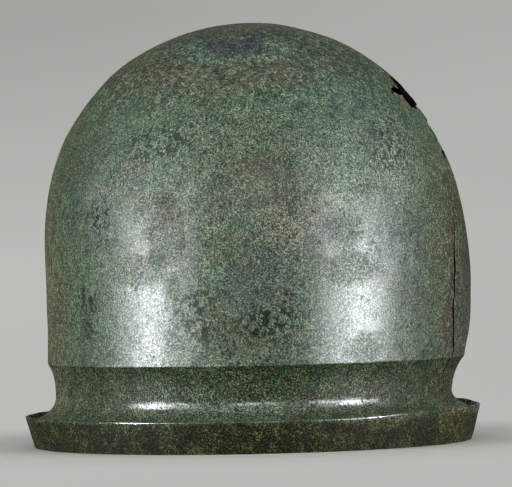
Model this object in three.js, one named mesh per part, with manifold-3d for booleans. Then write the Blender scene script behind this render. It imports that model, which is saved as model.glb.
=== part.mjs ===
// An Italic bronze helmet: a tall round dome over a sharp ledge, a hollow throat
// and a brim with an upstanding edge. One sheet of bronze is raised into the whole
// bowl, and the brim's lower edge is turned in to carry a flat lining ring, which
// rivets hold. The bowl is worn through high on the wearer's left side, and a crack
// runs from the hole down into the throat.
// Units are millimetres. +Z is up, the wearer faces -Y, and the origin is in the
// middle of the foot that the helmet stands on.

import * as THREE from "three";
import { mergeVertices } from "three/addons/utils/BufferGeometryUtils.js";
import Module from "manifold-3d";

const wasm = await Module();
wasm.setup();

// Overall sizes
const rimWidth = 232; // across the brim's upstanding edge
const rimLength = 262; // from front to back
const helmetHeight = 213.5;
const wall = 1.8;

// Heights of the bowl's features above the foot
const rimHeight = 16.3;
const throatHeight = 25.5;
const ledgeHeight = 42.2;
const bulgeHeight = 101; // where the dome is widest

// How far each feature lies inside the rim's outer edge
const throatInset = 15.8;
const ledgeInset = 12;
const bulgeInset = 10.1;
const footInset = 4.6;

// Curvature of the dome, the flank, the undercut below the ledge and the flare
const domeExponent = 2.09; // 2 is an ellipse, and more is squarer
const flankUpperPull = 15;
const flankLowerPull = 22;
const flankTuck = 0.9; // the flank draws in just above the ledge
const undercutDrop = 4;
const undercutDraw = 3;
const undercutRun = 6.5;
const flareDrop = 6;
const flareRise = 1.6;
const flareReach = 7.4;

// The brim's edge: a gutter behind an upstanding rim
const rimEdge = 1.3;
const gutterInset = 2.6;
const gutterDepth = 2.4;

// The turned-in lip under the brim
const footWidth = 2;
const lipRise = 2.2; // the lip's underside above the foot
const lipWidth = 8.5;

// Age has pushed the bowl out of true
const leanReach = 1.5; // how far the dome stands to the wearer's left
const leanTop = 120; // height at which it has leant that far
const swellDepth = 7.5; // the cracked flank stands proud
const swellHeight = 65;
const swellRise = 52; // how far up the swelling fades out
const swellFall = 30; // how far down
const swellArc = 0.65; // radians round the flank
const swellTurn = 0.1; // radians behind the helmet's widest point
const brimLift = 2; // the rim is bent up at the wearer's left
const liftStart = 40; // how far to the left the bend starts
const liftEnd = 100; // and where it is at its full height

// The hole, seen square on from the wearer's left. A tongue of metal is left
// standing in it from the front.
const lossWidth = 59.5;
const lossHeight = 41.3;
const lossFoot = 142.7; // height of its lowest point
const lossFront = 45; // how far it reaches in front of the widest point
const lossShares = [
  [0.66, 1.0],
  [0.49, 0.97],
  [0.33, 0.93],
  [0.18, 0.87],
  [0.09, 0.81],
  [0.0, 0.76],
  [0.15, 0.76],
  [0.21, 0.77],
  [0.19, 0.72],
  [0.19, 0.66],
  [0.17, 0.6],
  [0.3, 0.59],
  [0.49, 0.59],
  [0.66, 0.57],
  [0.79, 0.55],
  [0.72, 0.51],
  [0.57, 0.5],
  [0.45, 0.49],
  [0.39, 0.37],
  [0.41, 0.23],
  [0.47, 0.13],
  [0.34, 0.07],
  [0.41, 0.0],
  [0.62, 0.03],
  [0.76, 0.08],
  [0.82, 0.18],
  [0.81, 0.3],
  [0.89, 0.42],
  [0.97, 0.53],
  [1.0, 0.62],
  [0.94, 0.67],
  [0.79, 0.68],
  [0.74, 0.73],
  [0.81, 0.79],
  [0.81, 0.87],
  [0.77, 0.93],
  [0.74, 0.98],
];

// The crack: its line from the hole forwards and down to the throat, and how far it
// stands open along it
const crackStart = 20.4; // how far its upper end lies in front of the widest point
const crackReach = 24.8; // how much farther forwards it runs
const crackFoot = 24.4; // height of its lower end
const crackOpening = 2.2; // where it stands open the most
const crackShares = [
  [0.0, 0.0, 0.5],
  [0.31, 0.06, 0.3],
  [0.54, 0.13, 0.3],
  [0.7, 0.19, 0.3],
  [0.87, 0.27, 0.35],
  [1.0, 0.36, 0.6],
  [1.0, 0.45, 1.0],
  [0.98, 0.53, 1.0],
  [0.98, 0.61, 0.9],
  [0.91, 0.7, 0.9],
  [0.8, 0.78, 0.8],
  [0.73, 0.82, 0.7],
  [0.82, 0.86, 0.5],
  [0.81, 0.91, 0.5],
  [0.68, 0.96, 0.4],
  [0.7, 1.0, 0.3],
];

// The lining ring and its holes
const ringThickness = 1.5;
const ringWidth = 20;
const sewingHole = 1.1; // radius
const sewingMargin = 3; // from the ring's inner edge to the holes' middles
const sewingPitch = 14;
const strapHole = 2.3; // radius
const strapMargin = 7.6;
const strapSpacing = 16; // between the two holes of a pair

// The rivets
const rivetCount = 12;
const rivetShank = 1.5; // radius
const rivetHead = 2.7; // radius
const rivetHeadHeight = 1.2;

// Fits
const gap = 0.3; // between pieces that touch
const overrun = 6; // of a cutter past what it cuts

// Fineness of the curves
const roundSteps = 64;
const domeSteps = 13;
const curveSteps = 5;
const holeSteps = 8;
const rivetSteps = 12;

const bronze = new THREE.MeshStandardMaterial({
  color: 0x45564a,
  roughness: 0.42,
  metalness: 0.35,
});
const innerBronze = new THREE.MeshStandardMaterial({
  color: 0x4a5340,
  roughness: 0.6,
  metalness: 0.3,
});
const rivetBronze = new THREE.MeshStandardMaterial({
  color: 0x5a5238,
  roughness: 0.5,
  metalness: 0.5,
});

// Sizes that follow from those above
const rimHalf = rimWidth / 2;
const throatHalf = rimHalf - throatInset;
const ledgeHalf = rimHalf - ledgeInset;
const bulgeHalf = rimHalf - bulgeInset;
const footHalf = rimHalf - footInset;
const lipTop = lipRise + wall;
const lipTipHalf = footHalf - footWidth - lipWidth;
const ringFoot = lipTop + gap;
const ringTop = ringFoot + ringThickness;

// Half the helmet's length where half its width is x. The bowl is drawn out from
// front to back by the same amount all the way up to the dome, which closes evenly.
function halfLength(x) {
  const drawnOut = (rimLength - rimWidth) / 2;
  return x + drawnOut * Math.min(1, x / ledgeHalf);
}

// Half the width of the band's outer face at height z. The band leans in to its foot.
function bandHalf(z) {
  return footHalf + (footInset * z) / rimHeight;
}

// The outer outline of the bowl in the plane across the head, from the crown down
// to the bottom of the gutter.
function bowlOutline() {
  const points = [];
  const rise = helmetHeight - bulgeHeight;
  for (let i = 0; i < domeSteps; i++) {
    const turn = (Math.PI / 2) * (1 - i / domeSteps);
    const power = 2 / domeExponent;
    const out = i === 0 ? 0 : Math.cos(turn) ** power;
    points.push(
      new THREE.Vector2(
        bulgeHalf * out,
        bulgeHeight + rise * Math.sin(turn) ** power,
      ),
    );
  }
  const below = new THREE.Path();
  below.moveTo(bulgeHalf, bulgeHeight);
  below.bezierCurveTo(
    bulgeHalf,
    bulgeHeight - flankUpperPull,
    ledgeHalf - flankTuck,
    ledgeHeight + flankLowerPull,
    ledgeHalf,
    ledgeHeight,
  );
  below.bezierCurveTo(
    ledgeHalf - undercutDraw,
    ledgeHeight - undercutDrop,
    throatHalf,
    throatHeight + undercutRun,
    throatHalf,
    throatHeight,
  );
  const gutterHalf = rimHalf - gutterInset;
  const gutterFloor = rimHeight - gutterDepth;
  below.bezierCurveTo(
    throatHalf,
    throatHeight - flareDrop,
    gutterHalf - flareReach,
    gutterFloor + flareRise,
    gutterHalf,
    gutterFloor,
  );
  return points.concat(below.getPoints(curveSteps));
}

// The points of an outline moved inwards by a distance, square to the outline.
function movedIn(outline, distance) {
  const last = outline.length - 1;
  return outline.map((point, i) => {
    const before = outline[Math.max(i - 1, 0)];
    const after = outline[Math.min(i + 1, last)];
    const into = i > 0 ? point.clone().sub(before).normalize() : null;
    const out = i < last ? after.clone().sub(point).normalize() : null;
    const first = into ?? new THREE.Vector2(1, 0);
    const second = out ?? into;
    const mitre = first.clone().add(second);
    const normal = new THREE.Vector2(-mitre.y, mitre.x).normalize();
    const spread = normal.dot(new THREE.Vector2(-first.y, first.x));
    return point.clone().addScaledVector(normal, -distance / spread);
  });
}

// The bowl's whole section, from the crown down its outside, round the brim and
// its turned-in lip, and up the inside to the crown.
function bowlSection() {
  const outside = bowlOutline();
  const corner = new THREE.Vector2(0, rimHeight - gutterDepth - wall);
  corner.x = bandHalf(corner.y) - wall;
  const inside = movedIn(outside, wall)
    .filter((point) => point.x < corner.x)
    .reverse();
  inside[inside.length - 1].set(0, helmetHeight - wall);
  const brim = [
    [rimHalf - rimEdge, rimHeight],
    [rimHalf, rimHeight - rimEdge / 2],
    [footHalf, 0],
    [footHalf - footWidth, 0],
    [footHalf - footWidth, lipRise],
    [lipTipHalf, lipRise],
    [lipTipHalf, lipTop],
    [bandHalf(lipTop) - wall, lipTop],
    [corner.x, corner.y],
  ].map(([x, z]) => new THREE.Vector2(x, z));
  return [...outside, ...brim, ...inside];
}

// How far a value has come from a start to an end, as a share from 0 to 1.
function shareBetween(value, start, end) {
  return THREE.MathUtils.clamp((value - start) / (end - start), 0, 1);
}

// Where age has pushed a point of the true bowl to. The foot and the lip have kept
// their shape.
function pushedOut(x, y, z) {
  const turn = Math.atan2(y, x) - swellTurn;
  const round = Math.exp(-((turn / swellArc) ** 2));
  const reach = z > swellHeight ? swellRise : swellFall;
  const upright = Math.exp(-(((z - swellHeight) / reach) ** 2));
  const fromBrim = shareBetween(z, rimHeight, throatHeight);
  const swell = swellDepth * round * upright * fromBrim;
  const out = 1 + swell / Math.max(Math.hypot(x, y), swellDepth);
  const lean = leanReach * THREE.MathUtils.smoothstep(z, rimHeight, leanTop);
  const nearRim =
    shareBetween(z, ringTop, rimHeight) *
    shareBetween(z, ledgeHeight, rimHeight);
  const bend = THREE.MathUtils.smoothstep(x, liftStart, liftEnd);
  return [x * out + lean, y * out, z + brimLift * bend * nearRim];
}

// A closed skin of oval rings that follow a section, with a pole at each end.
function ovalLathe(section, place) {
  const positions = [];
  const faces = [];
  const last = section.length - 1;
  const starts = section.map((point, ring) => {
    const start = positions.length / 3;
    const steps = ring === 0 || ring === last ? 1 : roundSteps;
    for (let i = 0; i < steps; i++) {
      const turn = (2 * Math.PI * i) / roundSteps;
      const x = point.x * Math.cos(turn);
      const y = halfLength(point.x) * Math.sin(turn);
      positions.push(...place(x, y, point.y));
    }
    return start;
  });
  for (let ring = 0; ring < last; ring++) {
    for (let i = 0; i < roundSteps; i++) {
      const next = (i + 1) % roundSteps;
      const [upper, lower] = [starts[ring], starts[ring + 1]];
      if (ring < last - 1) {
        const [a, b] = ring === 0 ? [upper, upper] : [upper + i, upper + next];
        faces.push(a, lower + i, lower + next);
        if (ring > 0) faces.push(a, lower + next, b);
      } else {
        faces.push(upper + i, lower, upper + next);
      }
    }
  }
  const geometry = new THREE.BufferGeometry();
  geometry.setAttribute(
    "position",
    new THREE.Float32BufferAttribute(positions, 3),
  );
  geometry.setIndex(faces);
  return geometry;
}

function solidOf(geometry) {
  const bare = geometry.clone();
  bare.deleteAttribute("normal");
  bare.deleteAttribute("uv");
  const merged = mergeVertices(bare);
  return new wasm.Manifold(
    new wasm.Mesh({
      numProp: 3,
      vertProperties: merged.attributes.position.array,
      triVerts: new Uint32Array(merged.index.array),
    }),
  );
}

function geometryOf(solid) {
  const mesh = solid.getMesh();
  const geometry = new THREE.BufferGeometry();
  geometry.setAttribute(
    "position",
    new THREE.BufferAttribute(mesh.vertProperties, 3),
  );
  geometry.setIndex(new THREE.BufferAttribute(mesh.triVerts, 1));
  geometry.computeVertexNormals();
  return geometry;
}

// A prism that runs out through the wearer's left side, from an outline given as
// pairs of distances behind the widest point and above the foot.
function sidewaysPrism(outline) {
  const shape = new THREE.Shape(
    outline.map(([y, z]) => new THREE.Vector2(y, z)),
  );
  const inner = throatHalf / 4;
  const geometry = new THREE.ExtrudeGeometry(shape, {
    depth: rimHalf + swellDepth + overrun - inner,
    bevelEnabled: false,
  });
  const turned = new THREE.Matrix4().makeBasis(
    new THREE.Vector3(0, 1, 0),
    new THREE.Vector3(0, 0, 1),
    new THREE.Vector3(1, 0, 0),
  );
  turned.setPosition(inner, 0, 0);
  return solidOf(geometry.applyMatrix4(turned));
}

function lossCutter() {
  return sidewaysPrism(
    lossShares.map(([across, up]) => [
      across * lossWidth - lossFront,
      lossFoot + up * lossHeight,
    ]),
  );
}

function crackCutter() {
  const top = lossFoot + crackOpening / 2;
  const edge = (side) =>
    crackShares.map(([forward, down, open]) => [
      (side * crackOpening * open) / 2 - crackStart - forward * crackReach,
      top + (crackFoot - top) * down,
    ]);
  return sidewaysPrism([...edge(-1), ...edge(1).reverse()]);
}

// The middles of the rivets, spaced round the lip, none of them on the front line.
function rivetPlaces() {
  const half = lipTipHalf + lipWidth / 2;
  return Array.from({ length: rivetCount }, (_, i) => {
    const turn = (2 * Math.PI * (i + 1 / 2)) / rivetCount;
    return new THREE.Vector2(
      half * Math.cos(turn),
      halfLength(half) * Math.sin(turn),
    );
  });
}

function rivetDrills() {
  return rivetPlaces().map((place) => {
    const height = wall + 2 * gap;
    const drill = new THREE.CylinderGeometry(
      rivetShank + gap,
      rivetShank + gap,
      height,
      holeSteps,
    );
    drill.rotateX(Math.PI / 2);
    drill.translate(place.x, place.y, lipRise + wall / 2);
    return solidOf(drill);
  });
}

function bowl() {
  let solid = solidOf(ovalLathe(bowlSection(), pushedOut));
  for (const cutter of [lossCutter(), crackCutter(), ...rivetDrills()]) {
    solid = solid.subtract(cutter);
  }
  return geometryOf(solid);
}

// An oval of the given half width.
function ovalCurve(half) {
  return new THREE.EllipseCurve(0, 0, half, halfLength(half));
}

function roundHole(place, radius) {
  const circle = new THREE.EllipseCurve(place.x, place.y, radius, radius);
  return new THREE.Path(circle.getPoints(holeSteps).slice(1));
}

// Places at an even spacing along an oval.
function alongOval(half, pitch) {
  const line = ovalCurve(half);
  const count = Math.round(line.getLength() / pitch);
  return line.getSpacedPoints(count).slice(1);
}

function strapPlaces(half) {
  const sides = [-1, 1];
  return sides.flatMap((side) =>
    sides.map(
      (end) => new THREE.Vector2(side * half, (end * strapSpacing) / 2),
    ),
  );
}

function liningRing() {
  const outerHalf = bandHalf(ringFoot) - wall - 2 * gap;
  const innerHalf = outerHalf - ringWidth;
  const edge = (half) => ovalCurve(half).getPoints(roundSteps).slice(1);
  const shape = new THREE.Shape(edge(outerHalf));
  shape.holes.push(new THREE.Path(edge(innerHalf)));
  for (const place of alongOval(innerHalf + sewingMargin, sewingPitch)) {
    shape.holes.push(roundHole(place, sewingHole));
  }
  for (const place of strapPlaces(innerHalf + strapMargin)) {
    shape.holes.push(roundHole(place, strapHole));
  }
  for (const place of rivetPlaces()) {
    shape.holes.push(roundHole(place, rivetShank + gap));
  }
  return new THREE.ExtrudeGeometry(shape, {
    depth: ringThickness,
    bevelEnabled: false,
  });
}

// One rivet about its own axis, with a button head under the lip and over the ring.
function rivet() {
  const low = lipRise - gap;
  const high = ringTop + gap;
  const shoulder = rivetHead * Math.SQRT1_2;
  const rise = rivetHeadHeight * Math.SQRT1_2;
  const profile = [
    [0, low - rivetHeadHeight],
    [shoulder, low - rise],
    [rivetHead, low],
    [rivetShank, low],
    [rivetShank, high],
    [rivetHead, high],
    [shoulder, high + rise],
    [0, high + rivetHeadHeight],
  ].map(([x, z]) => new THREE.Vector2(x, z));
  return new THREE.LatheGeometry(profile, rivetSteps).rotateX(Math.PI / 2);
}

function piece(name, geometry, material) {
  const mesh = new THREE.Mesh(geometry, material);
  mesh.name = name;
  return mesh;
}

const helmet = new THREE.Group();
helmet.add(piece("helmet_bowl", bowl(), bronze));

const ring = piece("lining_ring", liningRing(), innerBronze);
ring.position.z = ringFoot;
helmet.add(ring);

const rivetGeometry = rivet();
rivetPlaces().forEach((place, i) => {
  const number = String(i + 1).padStart(2, "0");
  const mesh = piece("ring_rivet_" + number, rivetGeometry, rivetBronze);
  mesh.position.set(place.x, place.y, 0);
  helmet.add(mesh);
});

export default helmet;
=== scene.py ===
import math
import random

import bpy
import numpy as np
from mathutils import Matrix, Vector, geometry, noise


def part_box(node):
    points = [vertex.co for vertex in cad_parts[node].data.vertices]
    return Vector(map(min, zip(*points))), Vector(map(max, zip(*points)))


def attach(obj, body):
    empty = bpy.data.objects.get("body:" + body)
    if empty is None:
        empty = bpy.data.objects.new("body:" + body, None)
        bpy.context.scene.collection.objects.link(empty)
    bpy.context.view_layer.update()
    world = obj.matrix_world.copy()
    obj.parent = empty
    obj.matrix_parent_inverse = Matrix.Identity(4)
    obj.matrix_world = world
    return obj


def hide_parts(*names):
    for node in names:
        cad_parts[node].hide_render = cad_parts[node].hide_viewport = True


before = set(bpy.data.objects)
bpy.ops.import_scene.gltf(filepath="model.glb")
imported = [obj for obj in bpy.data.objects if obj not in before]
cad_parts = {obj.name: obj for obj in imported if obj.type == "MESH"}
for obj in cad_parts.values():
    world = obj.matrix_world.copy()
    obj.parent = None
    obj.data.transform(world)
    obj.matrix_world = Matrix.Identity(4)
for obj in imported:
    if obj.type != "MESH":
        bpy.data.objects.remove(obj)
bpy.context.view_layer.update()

# The bowl
# One sheet of tin bronze, raised over stakes into a dome, a sharp ledge, a hollow throat
# and a brim. The brim's lower edge is turned in as a lip, and the lining ring lies on it.
# The wearer's left side is worn through high up, and cracked from there to the throat.

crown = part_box("helmet_bowl")[1].z
rim_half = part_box("helmet_bowl")[1].x  # half of the brim's width
drawn_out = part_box("helmet_bowl")[1].y - rim_half  # half its length, less half its width
wall = 0.0018
rim_height = 0.0163
throat_height = 0.0255
ledge_height = 0.0422
bulge_height = 0.101  # where the dome is widest
throat_half = rim_half - 0.0158
ledge_half = rim_half - 0.012
bulge_half = rim_half - 0.0101
foot_half = rim_half - 0.0046
foot_width = 0.002
lip_foot = 0.0022
lip_width = 0.0085
gutter_inset = 0.0026
gutter_depth = 0.0024
rim_edge = 0.0013
edge_round = 0.0005
ledge_round = 0.0007
dome_exponent = 2.09  # 2 would make the dome half an ellipse
bulge_bend = 0.086  # the bends are the heights that pull the outline's curves
flank_bend = 0.0642
flank_inset = 0.0009
ledge_bend = 0.0382
ledge_inset = 0.003
undercut_bend = 0.032
throat_bend = 0.0195
brim_bend = 0.0155
brim_inset = 0.0074
round_steps = 256
dome_steps = 44
flank_steps = 22
throat_steps = 12
arc_steps = 3
longest_step = 0.0035  # between one ring of the sheet and the next
crown_hole = 0.0016  # half the width of the last ring, which is drawn shut


def half_length(half):
    """Half of the helmet's length where half its width is given."""
    return half + drawn_out * min(1, half / ledge_half)


def band_half(z):
    """Half of the width of the band under the rim, which leans in to its foot."""
    return foot_half + (rim_half - foot_half) * z / rim_height


def curve(steps, *handles):
    """Points on a Bezier curve through four handles, without the first."""
    return geometry.interpolate_bezier(*[Vector(h) for h in handles], steps + 1)[1:]


def rounded(corners, radius):
    """The corners of an outline with each inner one turned into a small arc."""
    corners = [Vector(c) for c in corners]
    points = [corners[0]]
    for before, corner, after in zip(corners, corners[1:], corners[2:]):
        start = corner + (before - corner).normalized() * radius
        end = corner + (after - corner).normalized() * radius
        points += [start, *curve(arc_steps, start, corner, corner, end)]
    return [*points, corners[-1]]


def bowl_outside():
    """The outer outline from the crown to the bottom of the gutter inside the rim."""
    rise, power = crown - bulge_height, 2 / dome_exponent
    points = [Vector((crown_hole, crown))]
    for i in range(1, dome_steps):
        turn = math.pi / 2 * (1 - i / dome_steps)
        out, up = math.cos(turn) ** power, math.sin(turn) ** power
        points.append(Vector((bulge_half * out, bulge_height + rise * up)))
    bulge = (bulge_half, bulge_height)
    ledge = (ledge_half, ledge_height)
    throat = (throat_half, throat_height)
    gutter = (rim_half - gutter_inset, rim_height - gutter_depth)
    flank_bends = (bulge_half, bulge_bend), (ledge_half - flank_inset, flank_bend)
    ledge_bends = (ledge_half - ledge_inset, ledge_bend), (throat_half, undercut_bend)
    brim_bends = (throat_half, throat_bend), (gutter[0] - brim_inset, brim_bend)
    points += [Vector(bulge), *curve(flank_steps, bulge, *flank_bends, ledge)]
    undercut = curve(throat_steps, ledge, *ledge_bends, throat)
    sharp_corner = [points.pop(-2), points.pop(), undercut.pop(0)]
    points += [*rounded(sharp_corner, ledge_round)[1:], *undercut]
    points += curve(throat_steps, throat, *brim_bends, gutter)
    return points


def moved_in(points, distance):
    """The outline of the sheet's inner face, square to its outer one."""
    moved = []
    for i, point in enumerate(points):
        along = points[min(i + 1, len(points) - 1)] - points[max(i - 1, 0)]
        moved.append(point + Vector((along.y, -along.x)).normalized() * distance)
    return moved


def bowl_section():
    """The whole section: down the inside, round the lip, foot and rim, up the outside."""
    outside = bowl_outside()
    corner = Vector((0, rim_height - gutter_depth - wall))
    corner.x = band_half(corner.y) - wall
    inside = [p for p in moved_in(outside, wall) if p.x < corner.x - edge_round]
    inside[0].x = crown_hole
    lip_top = lip_foot + wall
    tip_half = foot_half - foot_width - lip_width
    brim = rounded(
        [
            inside.pop(),
            corner,
            (band_half(lip_top) - wall, lip_top),
            (tip_half, lip_top),
            (tip_half, lip_foot),
            (foot_half - foot_width, lip_foot),
            (foot_half - foot_width, 0),
            (foot_half, 0),
            (rim_half, rim_height - rim_edge / 2),
            (rim_half - rim_edge, rim_height),
            outside.pop(),
            outside.pop(),
        ],
        edge_round,
    )
    section = inside
    for end in [*brim, *reversed(outside)]:
        start = section[-1]
        pieces = max(1, round((end - start).length / longest_step))
        section += [start.lerp(end, (i + 1) / pieces) for i in range(pieces)]
    return section


def share_between(value, start, end):
    """How far a value has come from a start to an end, from 0 to 1."""
    return np.clip((value - start) / (end - start), 0, 1)


def eased(share):
    return share * share * (3 - 2 * share)


def raised(name, sides, section, lengthwise):
    """A closed shape drawn ring by ring through a section, from one pole to the other."""
    bpy.ops.object.select_all(action="DESELECT")
    bpy.ops.mesh.primitive_circle_add(
        vertices=sides, radius=1, fill_type="TRIFAN", enter_editmode=True
    )
    piece = bpy.context.object
    piece.name = name
    x, z = section[0]
    bpy.ops.transform.resize(value=(x, lengthwise(x), 1))
    bpy.ops.transform.translate(value=(0, 0, z))
    bpy.ops.mesh.region_to_loop()
    for x2, z2 in section[1:]:
        bpy.ops.mesh.extrude_region_move(TRANSFORM_OT_translate={"value": (0, 0, z2 - z)})
        widen = (x2 / x, lengthwise(x2) / lengthwise(x), 1)
        bpy.ops.transform.resize(value=widen, center_override=(0, 0, z2))
        x, z = x2, z2
    bpy.ops.mesh.merge(type="CENTER")
    bpy.ops.mesh.select_all(action="SELECT")
    bpy.ops.mesh.normals_make_consistent(inside=False)
    bpy.ops.object.mode_set(mode="OBJECT")
    return piece


def points_of(piece):
    places = np.empty(len(piece.data.vertices) * 3, np.float32)
    piece.data.vertices.foreach_get("co", places)
    return places.reshape(-1, 3).astype(float)


def move_points(piece, places):
    piece.data.vertices.foreach_set("co", places.astype(np.float32).ravel())
    piece.data.update()


lean_reach = 0.0015  # how far the dome stands to the wearer's left
lean_top = 0.12
swell_depth = 0.0075  # the cracked flank stands proud
swell_height = 0.065
swell_rise = 0.052
swell_fall = 0.03
swell_arc = 0.65  # radians
swell_turn = 0.1  # radians behind the widest place
brim_lift = 0.002  # the rim is bent up at the wearer's left
brim_lift_start = 0.04
brim_lift_end = 0.1
ring_top = 0.0058  # the lip and the ring stay flat below this height


def push_out_of_true(piece):
    """Leans the dome, swells the cracked flank and bends up the end of the brim."""
    places = points_of(piece)
    x, y, z = places.T.copy()
    reach = np.where(z > swell_height, swell_rise, swell_fall)
    upright = np.exp(-(((z - swell_height) / reach) ** 2))
    round_it = np.exp(-(((np.arctan2(y, x) - swell_turn) / swell_arc) ** 2))
    swell = swell_depth * upright * round_it * share_between(z, rim_height, throat_height)
    out = 1 + swell / np.maximum(np.hypot(x, y), swell_depth)
    near_rim = share_between(z, ring_top, rim_height)
    near_rim *= share_between(z, ledge_height, rim_height)
    along_brim = eased(share_between(x, brim_lift_start, brim_lift_end))
    places[:, 0] = x * out + lean_reach * eased(share_between(z, rim_height, lean_top))
    places[:, 1] = y * out
    places[:, 2] = z + brim_lift * near_rim * along_brim
    move_points(piece, places)


def hammer(piece, name, size, depth):
    """Leaves shallow hammer marks and dents of one size all over a piece."""
    marks = bpy.data.textures.new(name, "CLOUDS")
    marks.noise_scale = size
    marks.noise_depth = 1
    dents = piece.modifiers.new(name, "DISPLACE")
    dents.texture = marks
    dents.texture_coords = "LOCAL"
    dents.strength = depth
    dents.mid_level = 0.5
    bpy.context.view_layer.objects.active = piece
    bpy.ops.object.modifier_apply(modifier=name)


foot_wave = 0.0009  # how far the foot is worn away at most
worn_stretch = 0.012


def wear_foot(piece):
    """Wears the foot unevenly and keeps every point inside the bowl's real size."""
    places = points_of(piece)
    x, y, z = places.T
    low = np.clip(1 - z / lip_foot, 0, 1)
    worn = np.array([noise.noise(Vector((a, b, 0)) / worn_stretch) for a, b in zip(x, y)])
    places[:, 2] = z + low * foot_wave * np.clip(worn, 0, 1)
    lowest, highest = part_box("helmet_bowl")
    move_points(piece, np.clip(places, np.array(lowest), np.array(highest)))


# The worn hole and the crack, seen square on from the wearer's left. Each point of them is
# a share of the hole's width and height, or of how far the crack runs forward and down,
# and the crack's third number is the share of its opening there.
hole_foot = 0.1427
hole_height = 0.0413
hole_front = 0.045  # ahead of the bowl's widest place, as is the crack's start
hole_width = 0.0595
hole_shares = [
    (0.66, 1.0), (0.49, 0.97), (0.33, 0.93), (0.18, 0.87), (0.09, 0.81), (0.0, 0.76),
    (0.15, 0.76), (0.21, 0.77), (0.19, 0.72), (0.19, 0.66), (0.17, 0.6), (0.3, 0.59),
    (0.49, 0.59), (0.66, 0.57), (0.79, 0.55), (0.72, 0.51), (0.57, 0.5), (0.45, 0.49),
    (0.39, 0.37), (0.41, 0.23), (0.47, 0.13), (0.34, 0.07), (0.41, 0.0), (0.62, 0.03),
    (0.76, 0.08), (0.82, 0.18), (0.81, 0.3), (0.89, 0.42), (0.97, 0.53), (1.0, 0.62),
    (0.94, 0.67), (0.79, 0.68), (0.74, 0.73), (0.81, 0.79), (0.81, 0.87), (0.77, 0.93),
    (0.74, 0.98),
]  # fmt: skip
crack_start = 0.0204
crack_reach = 0.0248
crack_top = hole_foot + 0.0011
crack_foot = 0.0244
crack_opening = 0.0022
crack_shares = [
    (0.0, 0.0, 0.5), (0.31, 0.06, 0.3), (0.54, 0.13, 0.3), (0.7, 0.19, 0.3),
    (0.87, 0.27, 0.35), (0.98, 0.36, 0.5), (1.02, 0.42, 0.9), (0.97, 0.47, 1.0),
    (1.0, 0.53, 0.9), (0.95, 0.58, 0.6), (0.99, 0.64, 1.0), (0.91, 0.7, 0.9),
    (0.8, 0.78, 0.8), (0.73, 0.82, 0.7), (0.82, 0.86, 0.5), (0.81, 0.91, 0.5),
    (0.68, 0.96, 0.4), (0.7, 1.0, 0.3),
]  # fmt: skip
hole_line = [
    (share * hole_width - hole_front, hole_foot + up * hole_height) for share, up in hole_shares
]
crack_line = [
    (-crack_start - forward * crack_reach, crack_top + down * (crack_foot - crack_top))
    for forward, down, opening in crack_shares
]
rag_size = 0.0021
rag_pattern = 0.37  # another number makes other rags
hole_raggedness = 0.75
crack_raggedness = 0.09


def ragged(line, roughness, closed):
    """A line with its stretches halved twice and each new point pushed aside."""
    for turn in range(2):
        ends = line[1:] + line[:1] if closed else line[1:]
        rough = []
        for (y, z), (y2, z2) in zip(line, ends):
            push = roughness * noise.noise(Vector((y + turn, z, rag_pattern)) / rag_size)
            middle = ((y + y2) / 2 + (z2 - z) * push, (z + z2) / 2 - (y2 - y) * push)
            rough += [(y, z), middle]
        line = rough if closed else [*rough, line[-1]]
    return line


def sideways_cutter(name, line, material):
    """A prism from inside the bowl out through the wearer's left side."""
    bpy.ops.object.select_all(action="DESELECT")
    bpy.ops.mesh.primitive_circle_add(vertices=len(line), fill_type="NGON")
    cutter = bpy.context.object
    cutter.name = name
    for vertex, (y, z) in zip(cutter.data.vertices, line):
        vertex.co = (throat_half / 4, y, z)
    cutter.data.materials.append(material)
    bpy.ops.object.mode_set(mode="EDIT")
    bpy.ops.mesh.extrude_region_move(TRANSFORM_OT_translate={"value": (rim_half, 0, 0)})
    bpy.ops.mesh.select_all(action="SELECT")
    bpy.ops.mesh.normals_make_consistent(inside=False)
    bpy.ops.object.mode_set(mode="OBJECT")
    return cutter


def cut_away(piece, cutter):
    cut = piece.modifiers.new(cutter.name, "BOOLEAN")
    cut.operation = "DIFFERENCE"
    cut.solver = "MANIFOLD"
    cut.material_mode = "TRANSFER"
    cut.object = cutter
    bpy.context.view_layer.objects.active = piece
    bpy.ops.object.modifier_apply(modifier=cut.name)
    bpy.data.objects.remove(cutter)


rivet_count = 12
rivet_shank = 0.0015
gap = 0.0003  # left between pieces that touch
rivet_line = foot_half - foot_width - lip_width / 2  # half the width of the oval they lie on
rivet_places = [
    (rivet_line * math.cos(turn), half_length(rivet_line) * math.sin(turn))
    for turn in (2 * math.pi * (i + 0.5) / rivet_count for i in range(rivet_count))
]
drill_sides = 24


def drill(piece, name, places, radius, low, high):
    """Drills round upright holes of one size through a piece."""
    bpy.ops.object.select_all(action="DESELECT")
    for i, (x, y) in enumerate(places):
        bpy.ops.mesh.primitive_cylinder_add(
            vertices=drill_sides,
            radius=radius,
            depth=high - low,
            location=(x, y, (high + low) / 2),
            enter_editmode=i == 0,
        )
    bpy.ops.object.mode_set(mode="OBJECT")
    drills = bpy.context.object
    drills.name = name
    drills.data.materials.append(piece.data.materials[-1])
    cut_away(piece, drills)


def srgb(red, green, blue):
    """A colour as a screen shows it, from 0 to 255, for a shader."""
    shares = [c / 255 for c in (red, green, blue)]
    return (*[s / 12.92 if s < 0.04045 else ((s + 0.055) / 1.055) ** 2.4 for s in shares], 1)


def add_node(tree, kind, sockets=None, **settings):
    """A shader node with its settings, and its sockets set to values or linked."""
    made = tree.nodes.new("ShaderNode" + kind)
    for name, value in settings.items():
        setattr(made, name, value)
    for name, value in (sockets or {}).items():
        if isinstance(value, bpy.types.NodeSocket):
            tree.links.new(value, made.inputs[name])
        else:
            made.inputs[name].default_value = value
    return made


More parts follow.
